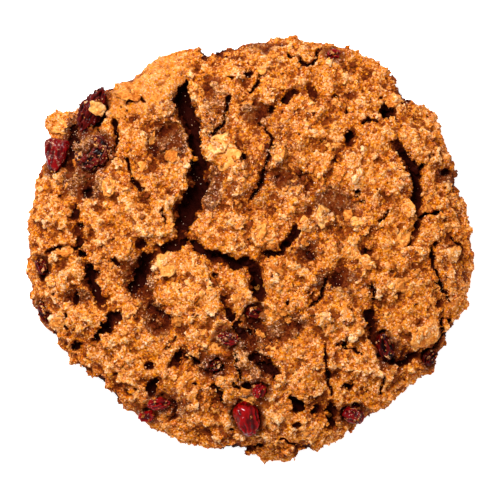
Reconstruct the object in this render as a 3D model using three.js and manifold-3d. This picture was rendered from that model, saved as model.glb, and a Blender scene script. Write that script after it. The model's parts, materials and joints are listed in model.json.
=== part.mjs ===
// A cranberry oat cookie lying flat: one round of crazed, craggy dough with rolled oats fused into its
// crust, and dried cranberries pressed into pockets in it. Millimetres, +Z up, with the origin under the
// middle of the cookie, on the surface that it lies on. +Y is the far side, +X the right.
import * as THREE from "three";
import { ConvexGeometry } from "three/addons/geometries/ConvexGeometry.js";
import { ImprovedNoise } from "three/addons/math/ImprovedNoise.js";
import { mergeVertices } from "three/addons/utils/BufferGeometryUtils.js";
import Module from "manifold-3d";

const wasm = await Module();
wasm.setup();
const noise = new ImprovedNoise();

// Driving dimensions, in millimetres.
const crown = 13.2; // top of the dome, before the crags
const lipHeight = 1.7; // the widest line of the rim stands this high
const lipInset = 1.4; // the flat base stops this far inside the widest line
const domeShape = 2.7; // how flat the dome stays before it rolls over at the rim
const rimEven = 14; // degrees of rim that the dome's height is evened over, so that nubs stay low
const roll = { size: 11, depth: 1.0 }; // broad swells of the crust
const crag = { size: 4.4, depth: 0.9 }; // crags of the crust
const lump = { size: 6.2, depth: 1.5 }; // rounded lumps of dough with creases between them
const rimFade = 13; // how quickly the relief dies away towards the rim
const ringCount = 25; // rings of crust facets from the middle to the rim
const floorLeft = 2.0; // dough that is always left under a crack or a pocket
const berryGap = 0.35; // clearance between a cranberry and its pocket
const flakeShape = { width: 0.78, depth: 1.6, tilt: 20 }; // width is a share of its length

// The widest line of the rim, anticlockwise from the right, by its corners: [x, y].
const rimCorners = [
  [44.8, -2.0], [43.6, 5.0], [43.4, 9.5], [41.1, 11.9], [41.2, 16.0],
  [38.6, 22.6], [37.4, 26.2], [37.9, 27.8], [30.7, 30.3], [28.4, 34.8],
  [26.6, 36.7], [19.6, 40.5], [11.9, 41.9], [6.8, 43.0], [3.1, 41.9],
  [-5.7, 39.7], [-9.2, 38.9], [-10.4, 40.4], [-15.0, 40.2], [-20.1, 37.5],
  [-22.9, 34.7], [-29.3, 31.7], [-33.7, 28.3], [-40.8, 27.5], [-41.5, 26.0],
  [-40.0, 21.5], [-42.9, 13.7], [-44.2, 5.5], [-44.8, 2.5], [-43.4, 0.1],
  [-44.7, -3.0], [-43.4, -10.0], [-41.6, -15.8], [-39.3, -16.2], [-38.3, -19.0],
  [-34.4, -23.0], [-30.5, -25.5], [-24.7, -31.5], [-18.1, -36.5], [-7.1, -39.9],
  [-1.2, -39.5], [4.0, -43.0], [9.9, -40.3], [18.2, -38.4], [20.0, -36.0],
  [28.1, -30.7], [37.7, -21.3], [40.2, -15.2], [42.0, -13.8], [44.2, -7.5],
];

// Crust that rose into a mound, or tore away and left the crumb showing a step lower.
// reach is [across, along], turn is in degrees, and a rise below zero is a torn patch.
const swells = [
  { at: [-24.5, 7.1], reach: [7.5, 8.5], rise: 1.3 },
  { at: [-11.1, -9.9], reach: [7.5, 6.5], rise: 1.1 },
  { at: [6.9, -5.5], reach: [6.0, 6.5], rise: 1.0 },
  { at: [16.9, -13.5], reach: [7.0, 6.5], rise: 0.9 },
  { at: [10.9, -24.9], reach: [6.0, 6.5], rise: 0.9 },
  { at: [22.9, -23.9], reach: [6.5, 5.5], rise: 0.8 },
  { at: [34.9, -16.3], reach: [4.6, 4.2], rise: 1.3 },
  { at: [-2.1, 18.1], reach: [7.0, 7.0], rise: 0.6 },
  { at: [19.9, 14.1], reach: [9.0, 7.0], rise: 0.6 },
  { at: [35.9, 20.1], reach: [5.0, 7.0], rise: 0.9 },
  { at: [-26.1, -20.9], reach: [6.5, 4.5], rise: 1.1, turn: -35 },
  { at: [-37.1, -5.4], reach: [5.0, 5.0], rise: 1.2 },
  { at: [-39.8, 6.0], reach: [4.5, 7.0], rise: 1.1 },
  { at: [-13.1, -29.9], reach: [6.0, 6.0], rise: 0.9 },
  { at: [6.9, -34.9], reach: [6.5, 5.0], rise: 0.9 },
  { at: [-38.4, 25.1], reach: [3.4, 3.0], rise: 1.8 },
  { at: [-16.1, 35.1], reach: [8.0, 5.0], rise: 0.9, turn: 30 },
  { at: [-31.1, -13.9], reach: [3.6, 4.2], rise: 0.9 },
  { at: [-16.1, 21.1], reach: [4.6, 4.4], rise: -1.9 },
  { at: [-7.3, 11.7], reach: [2.2, 5.2], rise: -1.7, turn: -8 },
  { at: [0.9, 27.1], reach: [3.6, 2.6], rise: -1.3 },
  { at: [7.5, 14.1], reach: [4.2, 2.2], rise: -1.3 },
  { at: [16.7, 9.1], reach: [4.0, 2.6], rise: -1.5, turn: -15 },
  { at: [16.5, -5.9], reach: [4.8, 2.2], rise: -1.6, turn: 10 },
  { at: [11.5, -0.3], reach: [2.2, 2.8], rise: -1.5 },
  { at: [6.9, -15.5], reach: [5.2, 2.5], rise: -1.9, turn: 25 },
  { at: [0.5, -17.1], reach: [2.0, 4.0], rise: -2.2 },
  { at: [0.9, -12.3], reach: [2.0, 1.7], rise: -1.7 },
  { at: [-7.3, -22.7], reach: [2.8, 2.0], rise: -1.7 },
  { at: [-18.6, -13.6], reach: [2.8, 4.4], rise: -1.7, turn: 25 },
  { at: [-22.1, -5.5], reach: [3.4, 4.8], rise: -2.1, turn: 15 },
  { at: [-33.7, 12.9], reach: [4.6, 3.0], rise: -1.9, turn: -20 },
  { at: [-35.3, 21.3], reach: [1.9, 6.2], rise: -2.3 },
  { at: [-33.9, -9.1], reach: [3.4, 1.7], rise: -1.3 },
  { at: [39.0, 14.6], reach: [2.6, 1.5], rise: -1.4 },
];
const smoothSkin = { at: [-20.5, 32.2], reach: [9.0, 5.0], turn: 38, share: 0.75 }; // unbroken baked skin

// Cracks where the crust parted: each route is a line of [x, y, width].
const fissures = {
  great: { depth: 7.0, route: [
    [-8.9, 39.3, 1.2], [-10.3, 35.1, 1.6], [-12.5, 32.7, 1.2], [-13.9, 30.0, 2.3], [-12.3, 25.9, 2.9],
    [-10.7, 20.9, 2.1], [-10.1, 17.3, 2.2], [-10.7, 10.9, 3.8], [-12.9, 4.9, 3.1], [-12.3, 0.9, 2.0]] },
  leftFork: { depth: 4.5, route: [[-12.9, 1.7, 2.0], [-17.5, 0.1, 1.7], [-20.9, -2.1, 1.3]] },
  leftPocket: { depth: 4.5, route: [
    [-22.1, 2.3, 2.0], [-20.9, -1.3, 1.8], [-21.1, -4.3, 2.8], [-23.5, -9.1, 1.9]] },
  rightFork: { depth: 6.0, route: [
    [-12.3, 0.9, 1.6], [-7.9, -0.5, 1.4], [-4.5, -2.3, 2.2], [0.7, -2.5, 2.3]] },
  middleDrop: { depth: 5.5, route: [
    [0.7, -2.3, 2.3], [1.0, -6.1, 1.9], [2.3, -9.7, 1.3], [4.1, -12.9, 0.7]] },
  middleRise: { depth: 4.0, route: [
    [0.9, -2.3, 1.4], [4.5, -1.0, 1.1], [7.9, 1.3, 1.5], [9.5, 5.5, 0.9], [10.1, 10.1, 0.7],
    [12.4, 14.7, 1.6], [11.9, 18.1, 1.0]] },
  plateRight: { depth: 2.7, route: [
    [10.5, 1.5, 1.0], [12.1, -1.6, 1.0], [14.6, -4.7, 1.0], [10.7, -10.3, 0.6], [6.5, -16.1, 0.9]] },
  plateSouth: { depth: 2.5, route: [
    [14.9, -5.5, 0.6], [19.7, -5.1, 0.8], [22.9, -2.5, 0.6], [26.1, -0.5, 0.9], [31.1, 0.7, 0.8]] },
  east: { depth: 4.4, route: [
    [28.1, 25.7, 1.0], [28.7, 21.3, 1.1], [32.5, 15.7, 1.8], [32.9, 9.1, 1.2], [33.1, 5.1, 1.1],
    [31.1, 0.7, 1.4]] },
  eastPit: { depth: 5.0, route: [[26.3, 28.7, 1.4], [26.9, 26.7, 2.8], [28.3, 25.3, 1.2]] },
  northPit: { depth: 4.2, route: [[21.3, 24.1, 1.1], [19.9, 22.9, 1.8], [18.1, 20.1, 0.8]] },
  northArch: { depth: 3.6, route: [
    [4.5, 27.5, 1.3], [8.3, 30.9, 1.2], [11.1, 32.5, 1.3], [13.3, 29.9, 1.4]] },
  spine: { depth: 2.8, route: [[4.7, 21.9, 0.6], [2.5, 14.1, 1.1], [-0.7, 8.1, 0.7]] },
  southSlot: { depth: 4.8, route: [[23.3, -10.9, 0.9], [23.5, -14.5, 1.9], [23.5, -18.1, 1.2]] },
  southEastGap: { depth: 4.2, route: [
    [25.1, -18.3, 0.9], [28.9, -23.3, 1.4], [31.1, -21.3, 1.8], [34.5, -20.3, 0.8]] },
  southPocket: { depth: 4.4, route: [[16.1, -29.3, 1.8], [16.0, -31.5, 2.8], [16.4, -36.1, 1.8]] },
  southArm: { depth: 4.4, route: [
    [14.3, -31.5, 1.4], [11.1, -31.3, 1.2], [8.3, -30.3, 2.1], [6.7, -28.3, 1.0]] },
  southNotch: { depth: 4.2, route: [[-0.1, -20.3, 1.1], [4.4, -23.3, 2.7], [5.3, -25.9, 1.6]] },
  southRift: { depth: 3.6, route: [[-12.5, -18.7, 0.9], [-14.3, -21.5, 2.0], [-15.9, -24.3, 1.1]] },
  besideSlice: { depth: 3.0, route: [[-15.1, -28.5, 1.0], [-15.1, -31.9, 1.8], [-15.9, -34.1, 0.9]] },
  westGap: { depth: 5.2, route: [[-25.7, -12.3, 1.5], [-28.7, -15.5, 2.3], [-31.3, -18.3, 0.9]] },
  westGroove: { depth: 4.0, route: [
    [-31.9, 12.3, 1.1], [-34.9, 6.1, 1.3], [-33.9, 2.1, 1.0], [-32.1, -3.5, 2.0], [-28.7, -10.9, 1.7],
    [-25.7, -12.7, 1.4]] },
  southWestPit: { depth: 4.6, route: [[-17.3, -25.1, 1.1], [-19.1, -27.1, 2.2], [-20.3, -29.1, 1.4]] },
  innerSlot: { depth: 3.6, route: [
    [-5.1, -8.7, 1.0], [-3.9, -12.5, 1.9], [-1.1, -17.7, 1.2], [-1.1, -21.7, 1.3]] },
  leftTorn: { depth: 2.5, route: [[-19.3, 21.7, 0.8], [-18.9, 18.5, 1.3], [-20.1, 15.7, 0.8]] },
  besideCurledBerry: { depth: 3.8, route: [
    [-26.7, 25.5, 0.9], [-26.3, 22.5, 1.1], [-26.3, 19.3, 0.9], [-27.9, 15.9, 0.8]] },
  cornerGap: { depth: 3.2, route: [[-35.1, 26.9, 1.5], [-35.3, 22.1, 1.6], [-35.5, 15.4, 1.3]] },
};
const fissureStep = 3.2; // length of one straight stretch of a crack
const fissureJitter = 0.35; // share by which a crack's walls wander
const fissureMouth = 1.8; // widening of a crack above the crust
const fissureFloor = 0.75; // and at its floor

// Dried cranberries: size is [length, width, thickness] before they wrinkled, turn is about the vertical,
// lean tips the +X end down, roll tips the +Y side down, rise lifts the middle above the crust, curl
// bends it round by that many degrees, taper widens the +X end by that share and narrows the other, and
// power is 2 for an egg, less for a spindle and more for a cushion. The baked ones are nearly black.
const cranberries = [
  { name: "cranberry_corner", at: [-38.6, 18.8], size: [7.4, 4.9, 2.8], turn: 83, roll: 16, rise: 0.6,
    taper: 0.45, power: 4 },
  { name: "cranberry_folded", at: [-31.3, 27.9], size: [11.4, 6.0, 5.2], turn: 64, lean: 8, rise: 0.6,
    taper: -0.15, power: 1.6, baked: true },
  { name: "cranberry_curled", at: [-30.9, 18.8], size: [11.6, 4.6, 4.4], turn: 40, curl: 270, rise: 0.3,
    baked: true },
  { name: "cranberry_slice", at: [-18.1, -30.4], size: [5.4, 3.0, 2.8], turn: 8, rise: 0.2 },
  { name: "cranberry_rim", at: [-20.6, -33.1], size: [4.2, 2.8, 3.0], turn: 12, rise: 0.0 },
  { name: "cranberry_glossy", at: [-0.5, -33.3], size: [7.6, 5.4, 5.0], turn: 104, rise: 0.5, taper: 0.2,
    power: 2.6 },
  { name: "cranberry_behind", at: [1.8, -27.7], size: [3.6, 3.2, 3.2], turn: 70, rise: 0.1 },
  { name: "cranberry_south", at: [20.6, -32.7], size: [5.0, 4.2, 3.4], turn: -30, rise: 0.1, power: 3 },
  { name: "cranberry_middle", at: [-4.3, -17.5], size: [5.2, 3.4, 3.0], turn: -12, rise: -0.3 },
  { name: "cranberry_east", at: [35.9, -21.4], size: [4.2, 3.4, 3.2], turn: 50, rise: 0.0, baked: true },
  { name: "cranberry_west", at: [-41.4, -3.3], size: [4.0, 2.7, 2.7], turn: -65, rise: -0.3, baked: true },
  { name: "cranberry_low_west", at: [-41.2, -12.4], size: [4.6, 2.5, 2.7], turn: -68, rise: -0.1,
    baked: true },
  { name: "cranberry_dark", at: [26.7, -19.1], size: [6.2, 3.9, 3.4], turn: -70, rise: 0.0, baked: true },
  { name: "cranberry_sunk", at: [-7.1, -22.8], size: [4.0, 3.0, 2.8], turn: 20, rise: 0.2, baked: true },
  { name: "cranberry_inner", at: [0.8, -12.3], size: [3.8, 2.8, 2.8], turn: -20, rise: 0.2, baked: true },
  { name: "cranberry_north", at: [16.7, 38.9], size: [3.2, 2.3, 2.5], turn: 10, rise: 0.0 },
];
const berryColour = { fresh: 0x7a0a12, baked: 0x2c0a0c };
const wrinkle = { size: 0.5, depth: 0.26 }; // creases of a dried berry, as shares of its half length

// Rolled oats that show from a step away: [x, y, length, turn in degrees].
const largeFlakes = [
  [-5.7, 20.9, 4.8, 20], [-4.5, 17.7, 5.6, -15], [-16.5, -2.9, 4.6, 30], [14.3, 6.7, 4.8, -10],
  [21.5, 5.7, 3.8, 20], [10.9, 4.9, 3.4, -30], [5.5, 19.5, 4.2, 60], [-38.1, 24.5, 3.8, 80],
  [-22.1, 15.9, 4.0, 0], [-27.7, 12.5, 3.6, 40], [2.5, 36.1, 3.2, 0], [34.9, -16.6, 7.0, 10],
  [20.9, -16.1, 3.8, 10], [40.4, -0.7, 3.4, 0], [41.3, -10.5, 3.0, 60], [36.3, -10.5, 3.2, 50],
  [-37.9, -14.3, 3.0, 80], [-2.3, -10.1, 3.4, 45], [-24.3, 31.3, 6.0, -38], [22.7, -2.3, 3.2, 0],
  [31.1, 8.7, 3.2, 80], [28.5, 29.7, 3.4, 30],
];
const smallFlakes = { count: 16, least: 2.8, most: 4.2, spacing: 6.5, reach: 38, seed: 11 };

const toRadians = THREE.MathUtils.degToRad;
const smooth = THREE.MathUtils.smoothstep;
const wrapped = (bearing) => Math.atan2(Math.sin(bearing), Math.cos(bearing));

// A seeded source of numbers from 0 to 1.
function drawFrom(seed) {
  let state = seed;
  return () => {
    state = (state * 48271) % 2147483647;
    return state / 2147483647;
  };
}

// A closed mesh's geometry as a solid that can be joined and cut.
function solidOf(geometry) {
  const bare = new THREE.BufferGeometry();
  bare.setAttribute("position", geometry.getAttribute("position").clone());
  if (geometry.index) bare.setIndex(geometry.index.clone());
  const merged = mergeVertices(bare, 1e-3);
  return new wasm.Manifold(new wasm.Mesh({
    numProp: 3,
    vertProperties: new Float32Array(merged.attributes.position.array),
    triVerts: new Uint32Array(merged.index.array),
  }));
}

function geometryOf(solid) {
  const { vertProperties, triVerts } = solid.getMesh();
  const geometry = new THREE.BufferGeometry();
  geometry.setAttribute("position", new THREE.BufferAttribute(new Float32Array(vertProperties), 3));
  geometry.setIndex(new THREE.BufferAttribute(new Uint32Array(triVerts), 1));
  geometry.computeVertexNormals();
  return geometry;
}

const joined = (solids) => solids.reduce((whole, next) => whole.add(next));
const larger = (one, other) => (other.volume() > one.volume() ? other : one);
const largestOf = (solid) => solid.decompose().reduce(larger);

// The rim's distance from the middle, by bearing: the spline through its corners, read in polar form.
const rimLine = new THREE.CatmullRomCurve3(
  rimCorners.map(([x, y]) => new THREE.Vector3(x, y, 0)), true, "centripetal")
  .getSpacedPoints(900)
  .map((p) => ({ bearing: Math.atan2(p.y, p.x), radius: Math.hypot(p.x, p.y) }))
  .sort((a, b) => a.bearing - b.bearing);

function rimRadius(bearing) {
  let low = 0;
  let high = rimLine.length;
  while (low < high) {
    const middle = (low + high) >> 1;
    if (rimLine[middle].bearing < bearing) low = middle + 1;
    else high = middle;
  }
  const after = rimLine[low % rimLine.length];
  const before = rimLine[(low + rimLine.length - 1) % rimLine.length];
  const turn = (angle) => (angle + 2 * Math.PI) % (2 * Math.PI);
  const span = turn(after.bearing - before.bearing);
  const share = span > 0 ? turn(bearing - before.bearing) / span : 0;
  return before.radius + (after.radius - before.radius) * share;
}

// The same, evened over a stretch of the rim: what the dome's height follows.
function evenRadius(bearing) {
  const shares = [-1, -0.5, 0, 0.5, 1];
  const around = shares.map((share) => rimRadius(wrapped(bearing + toRadians(rimEven) * share)));
  return around.reduce((sum, radius) => sum + radius, 0) / shares.length;
}

// How far (x, y) is from a swell's middle, 1 at its edge.
function reachOf({ at, reach, turn = 0 }, x, y) {
  const angle = toRadians(turn);
  const dx = x - at[0];
  const dy = y - at[1];
  const across = dx * Math.cos(angle) + dy * Math.sin(angle);
  const along = dy * Math.cos(angle) - dx * Math.sin(angle);
  return Math.hypot(across / reach[0], along / reach[1]);
}

function swellHeight(swell, x, y) {
  const far = reachOf(swell, x, y);
  if (far > 1.6) return 0;
  if (swell.rise > 0) return swell.rise * (1 - smooth(far, 0.2, 1.25));
  const ragged = far + 0.28 * noise.noise(x / 2.3, y / 2.3, 5.5);
  return swell.rise * (1 - smooth(ragged, 0.72, 1.05));
}

// Rounded lumps: 1 in the middle of each, falling to 0 in the creases between them.
function lumpHeight(x, y) {
  const column = Math.floor(x / lump.size);
  const row = Math.floor(y / lump.size);
  const gaps = [];
  for (let i = column - 1; i <= column + 1; i++) {
    for (let j = row - 1; j <= row + 1; j++) {
      const middleX = (i + 0.5 + 0.45 * Math.sin(i * 127.1 + j * 311.7)) * lump.size;
      const middleY = (j + 0.5 + 0.45 * Math.sin(i * 269.5 + j * 183.3)) * lump.size;
      gaps.push(Math.hypot(x - middleX, y - middleY) / lump.size);
    }
  }
  const [nearest, second] = gaps.sort((a, b) => a - b);
  return smooth(second - nearest, 0, 0.45);
}

// Height of the crust over (x, y), with no cracks in it.
function crustHeight(x, y) {
  const share = Math.min(1, Math.hypot(x, y) / evenRadius(Math.atan2(y, x)));
  const dome = lipHeight + (crown - lipHeight) * Math.sqrt(1 - share ** domeShape);
  const skin = smoothSkin.share * (1 - smooth(reachOf(smoothSkin, x, y), 0.6, 1.2));
  const relief = roll.depth * noise.noise(x / roll.size, y / roll.size, 1.5)
    + crag.depth * (1 - skin) * noise.noise(x / crag.size, y / crag.size, 3.5)
    + lump.depth * (1 - skin) * (lumpHeight(x, y) - 0.7)
    + swells.reduce((sum, swell) => sum + swellHeight(swell, x, y), 0);
  return dome + relief * Math.min(1, (1 - share) * rimFade);
}

// The uncracked round: rings of facets over the dome, a rolled-under edge and a flat base.
function round() {
  const draw = drawFrom(7);
  const points = [0, 0, crustHeight(0, 0)];
  const first = (ring) => (ring ? 1 + 3 * ring * (ring - 1) : 0);
  const corner = (ring, step) => first(ring) + (ring ? step % (6 * ring) : 0);
  for (let ring = 1; ring <= ringCount; ring++) {
    const share = 1 - (1 - ring / ringCount) ** 1.15;
    const inner = ring < ringCount ? 0.5 / ringCount : 0;
    for (let step = 0; step < 6 * ring; step++) {
      const bearing = ((step + (draw() - 0.5) * (inner ? 0.5 : 0.2)) / (6 * ring)) * 2 * Math.PI;
      const radius = rimRadius(wrapped(bearing)) * (share + (draw() - 0.5) * inner);
      const x = radius * Math.cos(bearing);
      const y = radius * Math.sin(bearing);
      points.push(x, y, ring < ringCount ? crustHeight(x, y) : lipHeight + 0.8 * (draw() - 0.5));
    }
  }
  const faces = [];
  for (let ring = 0; ring < ringCount; ring++) {
    for (let side = 0; side < 6; side++) {
      for (let step = 0; step <= ring; step++) {
        const inside = side * ring + step;
        const outside = side * (ring + 1) + step;
        faces.push(corner(ring, inside), corner(ring + 1, outside), corner(ring + 1, outside + 1));
        if (step === ring) continue;
        faces.push(corner(ring, inside), corner(ring + 1, outside + 1), corner(ring, inside + 1));
      }
    }
  }
  const rim = first(ringCount);
  const rimCount = 6 * ringCount;
  const base = points.length / 3;
  for (let step = 0; step < rimCount; step++) {
    const [x, y] = points.slice(3 * (rim + step), 3 * (rim + step) + 2);
    const inward = 1 - lipInset / Math.hypot(x, y);
    points.push(x * inward, y * inward, 0);
  }
  points.push(0, 0, 0);
  for (let step = 0; step < rimCount; step++) {
    const next = (step + 1) % rimCount;
    faces.push(rim + step, base + step, base + next, rim + step, base + next, rim + next);
    faces.push(base + rimCount, base + next, base + step);
  }
  const geometry = new THREE.BufferGeometry();
  geometry.setAttribute("position", new THREE.Float32BufferAttribute(points, 3));
  geometry.setIndex(faces);
  return solidOf(geometry);
}

// One crack as a wedge to cut away: convex stretches between ragged cross-sections along its route.
function fissure({ route, depth }) {
  const spine = new THREE.CatmullRomCurve3(
    route.map(([x, y, width]) => new THREE.Vector3(x, y, width)), false, "centripetal");
  const count = Math.max(2, Math.round(spine.getLength() / fissureStep));
  const stops = spine.getSpacedPoints(count);
  const sections = stops.map((stop, i) => {
    const ahead = stops[Math.min(i + 1, count)];
    const behind = stops[Math.max(i - 1, 0)];
    const across = new THREE.Vector2(behind.y - ahead.y, ahead.x - behind.x).normalize();
    const top = crustHeight(stop.x, stop.y);
    const fromEnd = Math.min(i, count - i) / count;
    const bottom = Math.max(floorLeft, top - depth * (0.6 + 0.4 * smooth(fromEnd, 0, 0.3)));
    return [-1, 1].flatMap((side) => {
      const wander = 1 + fissureJitter * 2 * noise.noise(stop.x * 0.9, stop.y * 0.9, 7.5 + side);
      const half = (side * stop.z * wander) / 2;
      return [[fissureMouth, top + 2.5], [fissureFloor, bottom]].map(([spread, z]) =>
        new THREE.Vector3(stop.x + across.x * half * spread, stop.y + across.y * half * spread, z));
    });
  });
  const stretches = sections.slice(1).map((section, i) => new ConvexGeometry([...sections[i], ...section]));
  return joined(stretches.map(solidOf));
}

// A dried cranberry about its own middle; creaseOf says how far it has shrunk in over a direction.
function berryGeometry({ size, curl = 0, taper = 0, power = 2 }, detail, grow, creaseOf) {
  const geometry = new THREE.IcosahedronGeometry(1, detail);
  const corners = geometry.getAttribute("position");
  const half = size.map((length) => length / 2);
  const bend = toRadians(curl) / size[0]; // radians of turn for each millimetre along the berry
  for (let i = 0; i < corners.count; i++) {
    const unit = new THREE.Vector3().fromBufferAttribute(corners, i).normalize();
    const crease = creaseOf(unit);
    const powers = unit.toArray().map((part) => Math.abs(part) ** power);
    unit.divideScalar((powers[0] + powers[1] + powers[2]) ** (1 / power));
    let x = unit.x * (half[0] + grow) * (1 - 0.6 * crease);
    let y = unit.y * (half[1] + grow) * (1 - crease) * (1 + taper * unit.x);
    const z = unit.z * (half[2] + grow) * (1 - crease);
    if (curl) {
      const centre = 1 / bend;
      [x, y] = [(centre - y) * Math.sin(x * bend), centre / 2 - (centre - y) * Math.cos(x * bend)];
    }
    corners.setXYZ(i, x, y, z);
  }
  return geometry;
}

function cranberry(berry, seed) {
  const creaseOf = ({ x, y, z }) =>
    wrinkle.depth * (0.5 + 0.5 * noise.noise(x / wrinkle.size + seed, y / wrinkle.size, z / wrinkle.size));
  const mesh = new THREE.Mesh(
    berryGeometry(berry, berry.size[0] > 6 ? 3 : 1, 0, creaseOf),
    new THREE.MeshStandardMaterial({
      color: berry.baked ? berryColour.baked : berryColour.fresh, roughness: 0.38, metalness: 0 }));
  mesh.name = berry.name;
  mesh.position.set(...berry.at, crustHeight(...berry.at) + berry.rise - 0.12 * berry.size[2]);
  mesh.rotation.order = "ZYX";
  mesh.rotation.set(toRadians(-(berry.roll ?? 0)), toRadians(berry.lean ?? 0), toRadians(berry.turn));
  mesh.geometry.computeVertexNormals();
  return mesh;
}

// The pocket that a cranberry lies in: its outline before it wrinkled, with a gap, and open straight up.
function pocket(berry, mesh) {
  mesh.updateMatrix();
  const grown = berryGeometry(berry, berry.power ? 2 : 1, berryGap, () => 0)
    .applyMatrix4(mesh.matrix)
    .getAttribute("position");
  const corners = [];
  for (let i = 0; i < grown.count; i++) {
    const corner = new THREE.Vector3().fromBufferAttribute(grown, i);
    corner.z = Math.max(corner.z, floorLeft);
    corners.push(corner, corner.clone().setZ(crown + 6));
  }
  return solidOf(new ConvexGeometry(corners));
}

// An oat flake lying on the crust, pressed half into it.
function flake([x, y, length, turn], draw) {
  const step = 0.8;
  const normal = new THREE.Vector3(
    crustHeight(x - step, y) - crustHeight(x + step, y),
    crustHeight(x, y - step) - crustHeight(x, y + step), 2 * step).normalize();
  const tilts = [draw(), draw()].map((share) => toRadians(flakeShape.tilt) * (share * 2 - 1));
  const tilt = new THREE.Euler(...tilts, 0);
  const shape = new THREE.SphereGeometry(1, 7, 3)
    .rotateX(Math.PI / 2)
    .scale(length / 2, (length * flakeShape.width) / 2, flakeShape.depth / 2)
    .rotateZ(toRadians(turn));
  shape.applyQuaternion(new THREE.Quaternion().setFromEuler(tilt));
  shape.applyQuaternion(new THREE.Quaternion().setFromUnitVectors(new THREE.Vector3(0, 0, 1), normal));
  return solidOf(shape.translate(x, y, crustHeight(x, y)));
}

// The smaller oats, spread evenly over the crust by a seeded draw that keeps them apart.
function scatterFlakes() {
  const draw = drawFrom(smallFlakes.seed);
  const placed = largeFlakes.map(([x, y]) => [x, y]);
  const made = [];
  for (let tries = 0; made.length < smallFlakes.count && tries < 4000; tries++) {
    const bearing = (draw() * 2 - 1) * Math.PI;
    const radius = smallFlakes.reach * Math.sqrt(draw());
    const spot = [radius * Math.cos(bearing), radius * Math.sin(bearing)];
    const length = smallFlakes.least + (smallFlakes.most - smallFlakes.least) * draw();
    const turn = 360 * draw();
    if (placed.some(([x, y]) => Math.hypot(x - spot[0], y - spot[1]) < smallFlakes.spacing)) continue;
    placed.push(spot);
    made.push([...spot, length, turn]);
  }
  return made;
}

// The whole cookie: the round with its oats, less the cracks and the cranberries' pockets, in one piece.
function cookieBody(pockets) {
  const draw = drawFrom(5);
  const flakes = [...largeFlakes, ...scatterFlakes()].map((spec) => flake(spec, draw));
  const cracks = joined(Object.values(fissures).map(fissure));
  const carved = joined([round(), ...flakes]).subtract(cracks).subtract(joined(pockets));
  return largestOf(solidOf(geometryOf(largestOf(carved))));
}

const cookie = new THREE.Group();
const pockets = cranberries.map((berry, seed) => {
  const mesh = cranberry(berry, seed);
  cookie.add(mesh);
  return pocket(berry, mesh);
});
const dough = new THREE.Mesh(
  geometryOf(cookieBody(pockets)),
  new THREE.MeshStandardMaterial({ color: 0xc57a34, roughness: 0.86, metalness: 0 }));
dough.name = "cookie";
cookie.add(dough);

export default cookie;
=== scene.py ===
import json
import math
import bpy
import numpy as np
from mathutils import Euler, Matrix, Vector, noise
from mathutils.bvhtree import BVHTree

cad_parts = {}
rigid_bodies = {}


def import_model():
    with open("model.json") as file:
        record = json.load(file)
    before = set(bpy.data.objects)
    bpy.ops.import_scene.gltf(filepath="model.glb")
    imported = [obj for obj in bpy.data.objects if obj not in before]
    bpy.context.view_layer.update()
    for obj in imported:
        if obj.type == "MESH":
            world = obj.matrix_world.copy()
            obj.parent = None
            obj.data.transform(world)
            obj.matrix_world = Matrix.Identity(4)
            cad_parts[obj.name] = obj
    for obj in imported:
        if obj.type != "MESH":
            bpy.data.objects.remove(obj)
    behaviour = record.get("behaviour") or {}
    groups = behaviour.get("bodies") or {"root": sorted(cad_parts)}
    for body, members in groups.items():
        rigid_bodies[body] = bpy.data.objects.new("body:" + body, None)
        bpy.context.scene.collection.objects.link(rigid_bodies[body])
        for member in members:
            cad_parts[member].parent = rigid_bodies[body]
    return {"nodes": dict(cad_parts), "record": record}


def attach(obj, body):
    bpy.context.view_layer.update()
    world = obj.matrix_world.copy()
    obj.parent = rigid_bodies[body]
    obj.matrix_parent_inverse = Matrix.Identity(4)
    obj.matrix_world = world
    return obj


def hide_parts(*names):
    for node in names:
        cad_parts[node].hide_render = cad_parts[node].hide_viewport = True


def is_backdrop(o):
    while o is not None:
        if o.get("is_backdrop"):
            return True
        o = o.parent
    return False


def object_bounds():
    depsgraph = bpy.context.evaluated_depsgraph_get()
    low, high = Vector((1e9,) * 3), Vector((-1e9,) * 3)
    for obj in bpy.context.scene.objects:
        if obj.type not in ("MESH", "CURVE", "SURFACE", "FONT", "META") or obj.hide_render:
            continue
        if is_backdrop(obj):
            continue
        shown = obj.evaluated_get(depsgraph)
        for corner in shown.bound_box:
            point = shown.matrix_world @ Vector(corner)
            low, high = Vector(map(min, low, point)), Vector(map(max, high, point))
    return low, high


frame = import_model()
cadLow, cadHigh = (np.array(corner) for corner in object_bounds())
mm = 0.001  # sizes below are in millimetres, and turned into metres where they are used


# the tools that every piece is made with

def deselectAll():
    if bpy.context.object and bpy.context.object.mode != "OBJECT":
        bpy.ops.object.mode_set(mode="OBJECT")
    bpy.ops.object.select_all(action="DESELECT")


def pick(piece):
    deselectAll()
    piece.select_set(True)
    bpy.context.view_layer.objects.active = piece
    return piece


def applyModifier(piece, kind, **settings):
    pick(piece)
    modifier = piece.modifiers.new(kind.lower(), kind)
    for key, value in settings.items():
        setattr(modifier, key, value)
    bpy.ops.object.modifier_apply(modifier=modifier.name)


def pattern(kind, **settings):
    texture = bpy.data.textures.new(kind.lower(), kind)
    for key, value in settings.items():
        setattr(texture, key, value)
    return texture


def copyOfNode(node, name):  # the solid's mesh in an object of its own, with its corners joined up
    piece = bpy.data.objects.new(name, frame["nodes"][node].data.copy())
    bpy.context.scene.collection.objects.link(piece)
    piece.data.materials.clear()
    pick(piece)
    bpy.ops.object.mode_set(mode="EDIT")
    bpy.ops.mesh.select_all(action="SELECT")
    bpy.ops.mesh.remove_doubles(threshold=1e-6)
    bpy.ops.object.mode_set(mode="OBJECT")
    return piece


def readVertices(piece, what):
    flat = np.empty(len(piece.data.vertices) * 3, np.float32)
    piece.data.vertices.foreach_get(what, flat)
    return flat.reshape(-1, 3).astype(float)


def coordsOf(piece):
    return readVertices(piece, "co")


def normalsOf(piece):
    return readVertices(piece, "normal")


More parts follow.
